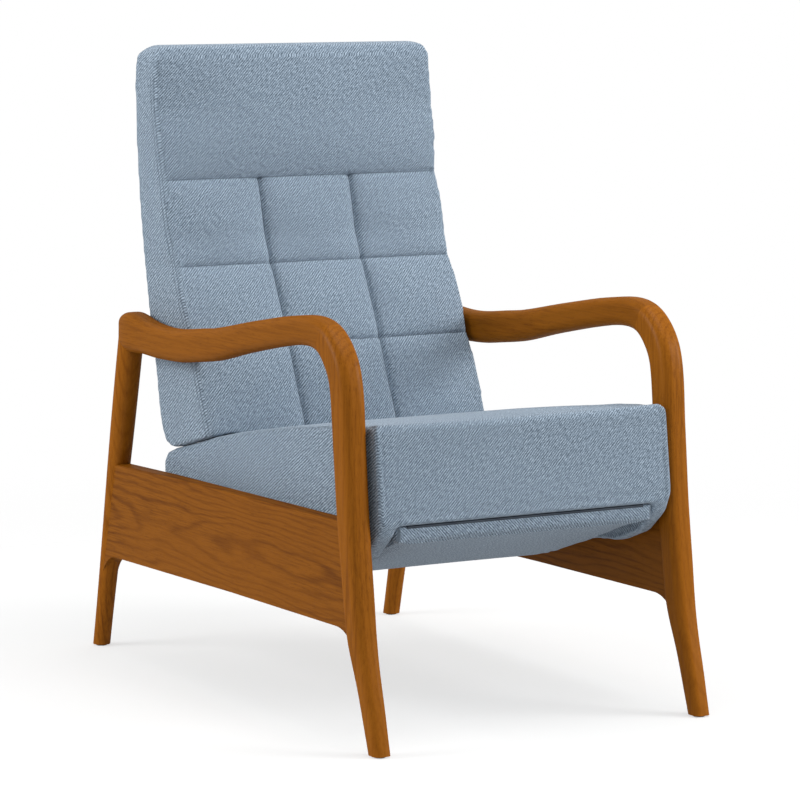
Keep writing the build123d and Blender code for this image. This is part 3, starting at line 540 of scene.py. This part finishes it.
def refined(piece):
    """Subdivides the piece once."""
    finer = piece.modifiers.new("finer", "SUBSURF")
    finer.levels = 1
    finer.render_levels = 1
    apply_modifiers(piece)


def eased(piece, turns):
    """Softens facets and creases, as the wadding under a cover does."""
    soft = piece.modifiers.new("soft", "SMOOTH")
    soft.factor = 0.5
    soft.iterations = turns
    apply_modifiers(piece)


def step_up(values, low, high):
    """0 at low to 1 at high, smooth in between."""
    share = np.clip((values - low) / (high - low), 0.0, 1.0)
    return share * share * (3 - 2 * share)


def near(gap, width):
    """1 on a seam, and falling away to 0 at about two widths from it."""
    return np.exp(-(gap / width) ** 2)


def at_sides(points, half):
    """1 on the last 6 mm next to each side, and 0 from 16 mm inward."""
    return step_up(np.abs(points[:, 0]), half - 0.016, half - 0.006)


def smooth_shaded(piece):
    """Shades the piece as one curved skin."""
    piece.data.polygons.foreach_set("use_smooth", np.ones(len(piece.data.polygons), bool))
    piece.data.update()


def run_along(points, line):
    """How far along a side-view line each point's nearest place is, and how far off it."""
    best = np.full(len(points), 1e9)
    along = np.zeros(len(points))
    gone = 0.0
    for first, second in zip(line, line[1:]):
        a = np.array(first)
        d = np.array(second) - a
        size = float(np.hypot(*d))
        reach = ((points - a) @ d) / size ** 2
        share = np.clip(reach, 0.0, 1.0)
        away = np.linalg.norm(points - a - share[:, None] * d, axis=1)
        nearer = away < best
        best[nearer] = away[nearer]
        past = np.where((reach > 1) & (second is line[-1]), away, 0.0)
        past -= np.where((reach < 0) & (first is line[0]), away, 0.0)
        along[nearer] = gone + share[nearer] * size + past[nearer]
        gone += size
    return along, best


side_draw_share = 0.6
rear_shift = 2.0
edge_band = 0.030


def lay_weave(piece, line, half, side_line):
    """The cover's UV map in metres: across and up the front line, and round to each side panel."""
    data = piece.data
    point = places(piece)
    facing = outward(piece)
    flat = np.clip(point[:, 0], -half, half)
    along, _ = run_along(point[:, 1:3], line)
    levels = [z for _, z in side_line]
    steps = np.hypot(*np.diff(np.array(side_line), axis=0).T)
    side_along = np.interp(point[:, 2], levels, np.concatenate([[0.0], np.cumsum(steps)]))
    side_off = np.maximum(point[:, 1] - np.interp(point[:, 2], levels, [y for y, _ in side_line]), 0.0)
    near_edge = np.abs(point[:, 0]) > half - edge_band
    side = step_up(np.abs(facing[:, 0]), 0.25, 0.8) * near_edge
    u = flat + np.sign(flat) * side * side_draw_share * side_off
    v = along + (side_along - along) * side
    face_facing = np.zeros(len(data.polygons) * 3)
    data.polygons.foreach_get("normal", face_facing)
    corners = np.zeros(len(data.polygons), int)
    data.polygons.foreach_get("loop_total", corners)
    face_facing = np.repeat(face_facing.reshape(-1, 3), corners, axis=0)
    loops = np.zeros(len(data.loops), int)
    data.loops.foreach_get("vertex_index", loops)
    rear = face_facing[:, 1] > 0.5
    level = (np.abs(face_facing[:, 2]) > 0.6) & (np.abs(face_facing[:, 0]) < 0.7)
    u = np.where(rear | level, flat[loops], u[loops])
    v = np.where(rear, side_along[loops] - rear_shift, np.where(level, along[loops], v[loops]))
    layer = data.uv_layers.get("weave") or data.uv_layers.new(name="weave")
    layer.data.foreach_set("uv", np.stack([u, v], 1).ravel())


def paint_seam_shade(piece, nearness):
    """Keeps how near each vertex is to a seam, 1 on the seam, as painted shade that darkens the
    cloth's colour there.
    """
    layer = piece.data.attributes.get("seam") or piece.data.attributes.new("seam", "FLOAT", "POINT")
    layer.data.foreach_set("value", nearness)


seat_low, seat_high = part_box("seat_side_pad_left")
cushion_low, cushion_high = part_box("seat_cushion")
seat_half = seat_high.x
seat_front_y = seat_low.y
seat_top_z = seat_high.z
panel_half = cushion_high.x
apron_foot = cushion_low.z
seat_body = cad_copy([
    "seat_cushion", "seat_side_pad_left", "seat_side_pad_right", "seat_board_left",
    "seat_board_right",
])
filling = cad_copy(["seat_cushion"])
filling_inset = 0.006
filling_back = 0.003
filling_sink = 0.002
for vert in filling.verts:
    vert.co.x *= (seat_half - filling_inset) / panel_half
    vert.co.y += filling_back
    vert.co.z -= filling_sink
seat_body.from_mesh(mesh_data("seat_filling", filling))
seat_cover = mesh_object("seat_cover", seat_body)
seat_voxel = 0.0050
remeshed(seat_cover, seat_voxel)
seat_points = places(seat_cover)
held_rear = step_up(seat_points[:, 1], 0.02, 0.10)
held_front = step_up(-seat_points[:, 1], 0.37, 0.41)
held_below = step_up(-outward(seat_cover)[:, 2], 0.3, 0.7)
held_sides = at_sides(seat_points, seat_half)
seat_held = np.clip(held_rear + held_front + held_below + held_sides, 0.0, 1.0)
plumped(seat_cover, pressure=2.5, cap=0.0015, held=seat_held)
eased(seat_cover, turns=3)
refined(seat_cover)

# The seat's sewn lines: the seam round the front panel turns in under the
# top edge on a 13 mm radius, and a second seam follows the top of each side.
seam_turn = 0.013
seam_drop = 0.010
side_seam_drop = 0.007
side_seam_band = 0.006
foot_fade = 0.012
foot_opening = 0.01
side_top_line = [
    (0.262, 0.3610), (0.202, 0.3770), (0.111, 0.4008), (-0.021, 0.4281),
    (-0.107, 0.4427), (-0.300, 0.4743), (-0.415, 0.4865),
]


def front_panel_gap(points, facing):
    """Distance to the seam that joins the front panel to the side panels."""
    x = np.abs(points[:, 0]) - panel_half
    z = points[:, 2] - (seat_top_z - seam_drop)
    corner = np.hypot(x + seam_turn, z + seam_turn) - seam_turn
    gap = np.where(z > -seam_turn, np.abs(corner), np.abs(x))
    low = step_up(-points[:, 2], -apron_foot - foot_fade, -apron_foot + foot_fade)
    away = (facing[:, 1] > -0.55) | (x + seam_turn < 0) | (z > 0.002)
    return np.where(away, 1.0, gap + low * foot_opening)


def top_panel_gap(points, facing):
    """Distance to the seam along the top edge of each side."""
    _, off = run_along(points[:, 1:3], side_top_line)
    side = np.abs(facing[:, 0]) > 0.45
    side &= np.abs(points[:, 0]) > seat_half - side_seam_band
    return np.where(side, np.abs(off - side_seam_drop), 1.0)


def round_edge(points, half, axis, sign, edge, radius):
    """Draws the edges at the sides, where a face at edge looks along sign axis, to a radius."""
    across = np.abs(points[:, 0]) - (half - radius)
    ahead = sign * (points[:, axis] - edge) + radius
    reach = np.hypot(across, ahead)
    outside = (across > 0) & (ahead > 0) & (reach > radius)
    pull = np.where(outside, radius / np.maximum(reach, 1e-9), 1.0)
    points[:, 0] -= np.sign(points[:, 0]) * across * (1 - pull)
    points[:, axis] -= sign * ahead * (1 - pull)


def square_up(points, half, front, radius, share):
    """Fills the upright front corners out from a radius towards a square corner."""
    across = np.maximum(np.abs(points[:, 0]) - (half - radius), 1e-6)
    ahead = np.maximum((front + radius) - points[:, 1], 1e-6)
    reach = np.hypot(across, ahead)
    power = 4
    fuller = ((across / reach) ** power + (ahead / reach) ** power) ** (-1 / power) - 1
    fuller = fuller * share * (across > 1e-5) * (ahead > 1e-5)
    points[:, 0] += np.sign(points[:, 0]) * across * fuller
    points[:, 1] -= ahead * fuller


seat_points = places(seat_cover)
seat_facing = outward(seat_cover)
seat_sink = 0.0100
settled = 1.0 - (seat_points[:, 0] / seat_half) ** 2
settled *= step_up(seat_facing[:, 2], 0.2, 0.7)
settled *= step_up(seat_points[:, 1], -0.45, -0.39) * step_up(-seat_points[:, 1], -0.18, -0.02)
seat_points[:, 2] -= seat_sink * np.maximum(settled, 0.0)
corner_radius = 0.014
corner_share = step_up(seat_points[:, 2], 0.33, 0.35)
square_up(seat_points, seat_half, seat_front_y, corner_radius, corner_share)
shoulder_drop = 0.0042
shoulder = step_up(np.abs(seat_points[:, 0]), 0.10, 0.22) * step_up(-seat_points[:, 1], 0.12, 0.30)
shoulder *= 1.0 - step_up(-seat_points[:, 1], 0.40, 0.43)
seat_points[:, 2] -= shoulder_drop * shoulder * step_up(seat_points[:, 2], 0.40, 0.44)
rear_fullness = 0.004
seat_points[:, 1] += rear_fullness * step_up(seat_points[:, 1], 0.15, 0.25)
ahead_share = step_up(-seat_points[:, 1], 0.34, 0.43)
nose_radius = 0.016
nose = seat_points.copy()
round_edge(nose, seat_half, 2, 1, seat_top_z, nose_radius)
seat_points += (nose - seat_points) * ahead_share[:, None]
lean_from = 0.40
lean_back = 0.010
lean_out = 0.005
nose_drop = 0.0035
lean = (seat_points[:, 2] - lean_from) / (seat_top_z - lean_from)
seat_points[:, 1] += ahead_share * np.clip(lean_back * lean, -lean_out, lean_back)
seat_points[:, 2] -= nose_drop * ahead_share * step_up(lean, 0.3, 1.0)
chin_low = 0.315
chin_high = 0.335
chin_fullness = 0.0028
chin = step_up(-seat_points[:, 2], -chin_high, -chin_low) * step_up(-seat_points[:, 1], 0.27, 0.33)
chin *= step_up(-seat_facing[:, 2], 0.1, 0.5)
seat_points += seat_facing * (chin_fullness * chin)[:, None]
set_places(seat_cover, seat_points)
seat_facing = outward(seat_cover)
top_seam_fineness = 1.4
seat_gap = np.minimum(
    front_panel_gap(seat_points, seat_facing),
    top_panel_gap(seat_points, seat_facing) * top_seam_fineness,
)
seat_seam_width = 0.0026
seat_seam_depth = 0.0010
# The seams are also painted darker in the cloth's colour, as shade in their creases.
seat_seam_shade = 0.45
seat_seam = near(seat_gap, seat_seam_width)
seat_points -= seat_facing * (seat_seam_depth * seat_seam)[:, None]
lip_height = 0.016
lip_forward = 0.0020
lip_share = step_up(-np.abs(seat_points[:, 0]), -0.2290, -0.2180)
lip_share *= step_up(-seat_points[:, 1], 0.408, 0.412)
lip_share *= step_up(-seat_points[:, 2], -apron_foot - lip_height, -apron_foot)
seat_points[:, 1] -= lip_forward * lip_share
set_places(seat_cover, seat_points)
smooth_shaded(seat_cover)
seat_line = [
    (-0.40, 0.20), (-0.442, 0.33), (-0.441, 0.38), (-0.434, 0.455), (-0.430, 0.470),
    (-0.424, 0.479), (-0.415, 0.484), (0.27, 0.36),
]
seat_side_line = [(seat_front_y, 0.2), (seat_front_y, 0.5)]
lay_weave(seat_cover, seat_line, seat_half, seat_side_line)
paint_seam_shade(seat_cover, seat_seam_shade * seat_seam)
dress(seat_cover, twill)
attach(seat_cover, "seat")
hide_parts("seat_cushion", "seat_side_pad_left", "seat_side_pad_right")

# Rear panel of the seat box: a thin board with the same twill pulled over it
# and stapled on its inner face.
rear_panel = mesh_object("seat_rear_cover", cad_copy(["seat_rear_panel"]))
rear_panel_bevel = rear_panel.modifiers.new("rounding", "BEVEL")
rear_panel_bevel.width = 0.002
rear_panel_bevel.segments = 3
apply_modifiers(rear_panel)
rear_half = 0.25
rear_line = [(0.3, 0.2), (0.3, 0.4)]
lay_weave(rear_panel, rear_line, rear_half, rear_line)
paint_seam_shade(rear_panel, np.zeros(len(rear_panel.data.vertices)))
dress(rear_panel, twill)
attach(rear_panel, "seat")
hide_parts("seat_rear_panel")

# Back upholstery: a plain head panel over three rows of three tufted
# squares, with boxed sides and a plain rear cover, all in the twill, sewn
# together over foam and stapled to the stiles.
back_nodes = [
    "back_tufted_pad", "back_head_panel", "back_boxing_left", "back_boxing_right",
    "back_rear_cover", "back_bottom_cover",
]
front_nodes = ["back_tufted_pad", "back_head_panel"]
back_body = cad_copy(front_nodes)
boxing_low, boxing_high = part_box("back_boxing_left")
back_half = boxing_high.x
lever_room = 0.440
cover_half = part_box("back_bottom_cover")[1].x


def back_slab(x_low, x_high, floor_z):
    """The side shape of the back from x_low to x_high, above floor_z."""
    slab = cad_copy(["back_boxing_left"])
    for vert in slab.verts:
        across = (vert.co.x - boxing_low.x) / (boxing_high.x - boxing_low.x)
        vert.co.x = x_low + (x_high - x_low) * across
    if floor_z > 0:
        everything = slab.verts[:] + slab.edges[:] + slab.faces[:]
        bmesh.ops.bisect_plane(
            slab, geom=everything, plane_co=(0, 0, floor_z), plane_no=(0, 0, -1), clear_outer=True
        )
        bmesh.ops.holes_fill(slab, edges=slab.edges, sides=0)
    return mesh_data("back_slab", slab)


for data in [
    back_slab(-back_half, back_half, lever_room),
    back_slab(-cover_half, cover_half, 0.0),
    back_slab(boxing_low.x, boxing_high.x, 0.0),
    back_slab(-boxing_high.x, -boxing_low.x, 0.0),
]:
    back_body.from_mesh(data)
wadding = cad_copy(front_nodes)
wadding_back = 0.006
bmesh.ops.translate(wadding, verts=wadding.verts, vec=(0, wadding_back, 0))
back_body.from_mesh(mesh_data("back_wadding", wadding))
back_cover = mesh_object("back_cover", back_body)
back_voxel = 0.0045
remeshed(back_cover, back_voxel)
back_line = [
    (0.10, 0.36), (0.116, 0.4027), (0.175, 0.5376), (0.2374, 0.6643), (0.2825, 0.8023),
    (0.3043, 0.917), (0.309, 0.9995), (0.32, 1.021), (0.44, 1.021),
]
tuft_low, tuft_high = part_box("back_tufted_pad")
seam_row_shares = [0.3376, 0.6547, 1.0]
seam_rows = [tuft_low.z + (tuft_high.z - tuft_low.z) * share for share in seam_row_shares]
seam_columns = (-0.0806, 0.0880)
back_foot = 0.38
row_fineness = 1.08
front_edge_seams = (0.0015, 0.0125)


def front_seams(points, facing):
    """Distances to the nearest level and upright seam of the tufted front, far off it elsewhere."""
    front = (facing[:, 1] < -0.5) & (points[:, 2] > back_foot)
    level = np.min([np.abs(points[:, 2] - row) * row_fineness for row in seam_rows], axis=0)
    upright = np.min([np.abs(points[:, 0] - column) for column in seam_columns], axis=0)
    level = np.where(front & (np.abs(points[:, 0]) < back_half - 0.003), level, 1.0)
    upright = np.where(front & (points[:, 2] < seam_rows[-1]), upright, 1.0)
    return level, upright


def row_y(level):
    """How far back the front line is at a level."""
    return float(np.interp(level, [z for _, z in back_line], [y for y, _ in back_line]))


def edge_seams(points, facing):
    """Distance to the seams that join the side panels to the front and to the rear."""
    side = np.abs(facing[:, 0]) > 0.6
    _, off = run_along(points[:, 1:3], back_line[1:-1])
    front_edge = np.min([np.abs(off - seam) for seam in front_edge_seams], axis=0)
    rear = facing[:, 1] > 0.4
    rear_edge = np.abs(np.abs(points[:, 0]) - boxing_low.x)
    return np.where(side, front_edge, np.where(rear, rear_edge, 1.0))


back_points = places(back_cover)
back_facing = outward(back_cover)
level_gap, upright_gap = front_seams(back_points, back_facing)
sewn_gap = np.minimum(level_gap, upright_gap)
held_width = 0.008
back_held = np.maximum.reduce([
    np.clip(1.3 - sewn_gap / held_width, 0.0, 1.0),
    step_up(-back_points[:, 2], -0.42, -0.39),
    step_up(back_facing[:, 1], -0.75, -0.5),
    at_sides(back_points, back_half),
    step_up(back_points[:, 2], 0.985, 1.0),
])
plumped(back_cover, pressure=4.0, cap=0.004, held=back_held)
eased(back_cover, turns=9)
refined(back_cover)
back_points = places(back_cover)
back_facing = outward(back_cover)
level_gap, upright_gap = front_seams(back_points, back_facing)
edge_gap = edge_seams(back_points, back_facing)
front_fullness = 0.0045
fullness = front_fullness * step_up(-back_facing[:, 1], 0.35, 0.8)
stitched = 1.0 - 0.75 * at_sides(back_points, back_half)
valley = 0.0075
crease = 0.0030
row_sink = 0.0040
row_crease = 0.0014
column_sink = 0.0068
column_crease = 0.0022
sink = row_sink * np.exp(-level_gap / valley) + row_crease * near(level_gap, crease)
sink *= stitched
sink += column_sink * np.exp(-upright_gap / valley) + column_crease * near(upright_gap, crease)
back_points += (sink - fullness)[:, None] * np.array([0.0, 1.0, -0.15])
side_fullness = 0.0035
back_widening = 1.0 + side_fullness / back_half
back_points[:, 0] *= back_widening
edge_depth = 0.0006
back_points -= back_facing * (edge_depth * near(edge_gap, crease))[:, None]
head_radius = 0.030
round_edge(back_points, back_half + side_fullness, 2, 1, back_points[:, 2].max(), head_radius)
row_gap = np.min([np.abs(back_points[:, 2] - row) for row in seam_rows], axis=0)
row_draw = 0.0026
row_reach = 0.016
draw = row_draw * np.exp(-row_gap / row_reach) * step_up(np.abs(back_points[:, 0]), 0.19, back_half)
draw *= step_up(-back_points[:, 1], -0.36, -0.28)
back_points[:, 0] -= np.sign(back_points[:, 0]) * draw
set_places(back_cover, back_points)
smooth_shaded(back_cover)
lay_weave(back_cover, back_line, back_half, back_line)
# The rear seams and the tufted front's sewn lines are painted darker in the cloth, as shade in their
# creases.
rear_gap = np.where(back_facing[:, 1] > 0, edge_gap, 1.0)
rear_seam_width = 0.0028
rear_seam_shade = 0.35
paint_seam_shade(back_cover, rear_seam_shade * near(rear_gap, rear_seam_width))
row_places, _ = run_along(np.array([(row_y(row), row) for row in seam_rows]), back_line)
back_sewn = [
    (True, column * back_widening, 0.0, row_places[-1], 1.0) for column in seam_columns
]
row_inset = 0.004
row_end = back_half - row_inset
back_sewn += [(False, row, -row_end, row_end, 1.0) for row in row_places]
side_seam_offs = (0.0045, 0.0145)
side_seam_low = -0.05
side_seam_high = 0.65
side_seam_weight = 0.85
for side in (-1, 1):
    for off in side_seam_offs:
        place_on = side * (back_half + side_draw_share * off)
        back_sewn.append((True, place_on, side_seam_low, side_seam_high, side_seam_weight))
dress(back_cover, twill_cloth("tufted_twill", back_sewn))
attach(back_cover, "back")
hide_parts(*back_nodes)

# Footrest: a board with a wedge of foam on its underside and a padded strip
# along the hinge, all under one twill cover that is stapled to the board.
footrest_body = cad_copy(["footrest_pad"])
_, pad_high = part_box("footrest_pad")
board_low, board_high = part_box("footrest_board")
board_wrap = cad_copy(["footrest_board"])
side_wrap = 0.001
wrap = 0.004
wrap_sink = 0.0015
for vert in board_wrap.verts:
    vert.co.x *= (board_high.x + side_wrap) / board_high.x
    vert.co.y += wrap * (vert.co.y > (board_low.y + board_high.y) / 2)
    vert.co.z -= wrap_sink
footrest_body.from_mesh(mesh_data("board_wrap", board_wrap))
strip_half = 0.2262
strip_front = -0.4362
strip_rear = -0.416
strip_low = 0.3040
strip_high = 0.3310
strip = bmesh.ops.create_cube(footrest_body, size=1.0)["verts"]
for vert in strip:
    vert.co.x *= 2 * strip_half
    vert.co.y = (strip_front + strip_rear) / 2 + vert.co.y * (strip_rear - strip_front)
    vert.co.z = (strip_low + strip_high) / 2 + vert.co.z * (strip_high - strip_low)
footrest_cover = mesh_object("footrest_cover", footrest_body)
footrest_voxel = 0.0045
remeshed(footrest_cover, footrest_voxel)
rest_held = step_up(outward(footrest_cover)[:, 2], -0.2, 0.2)
plumped(footrest_cover, pressure=3.0, cap=0.003, held=rest_held)
refined(footrest_cover)
rest_points = places(footrest_cover)
rest_facing = outward(footrest_cover)
corner_round = 0.075
board_pitch = math.radians(12.0)
board_fall = math.tan(board_pitch)
under_board = board_high.z - board_fall * (rest_points[:, 1] - board_low.y) - rest_points[:, 2]
belly = step_up(under_board, 0.014, 0.040)
past = np.maximum(rest_points[:, 1] - (pad_high.y - corner_round), 0.0)
inset = corner_round - np.sqrt(np.maximum(corner_round ** 2 - past ** 2, 0.0))
limit = pad_high.x + side_wrap - inset * belly
rest_points[:, 0] = np.where(past > 0, np.clip(rest_points[:, 0], -limit, limit), rest_points[:, 0])
strip_radius = 0.008
round_edge(rest_points, strip_half, 1, -1, strip_front, strip_radius)
seam_level = 0.001
rest_gap = np.abs(rest_points[:, 2] - strip_low - seam_level)
rest_gap = np.where(rest_facing[:, 1] < 0.2, rest_gap, 1.0)
rest_gap = np.where(rest_points[:, 1] < -0.40, rest_gap, 1.0)
rest_crease = 0.0028
rest_seam_depth = 0.0008
rest_points -= rest_facing * (rest_seam_depth * near(rest_gap, rest_crease))[:, None]
set_places(footrest_cover, rest_points)
smooth_shaded(footrest_cover)
rest_line = [(-0.4365, 0.34), (-0.4375, 0.302), (-0.16, 0.210)]
rest_side_line = [(-0.4375, 0.20), (-0.4375, 0.34)]
lay_weave(footrest_cover, rest_line, strip_half, rest_side_line)
# The seam under the padded strip is painted darker in the cloth, as shade in its crease.
rest_seam_width = 0.0026
rest_seam_shade = 0.30
paint_seam_shade(footrest_cover, rest_seam_shade * near(rest_gap, rest_seam_width))
dress(footrest_cover, twill)
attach(footrest_cover, "footrest")
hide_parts("footrest_pad")
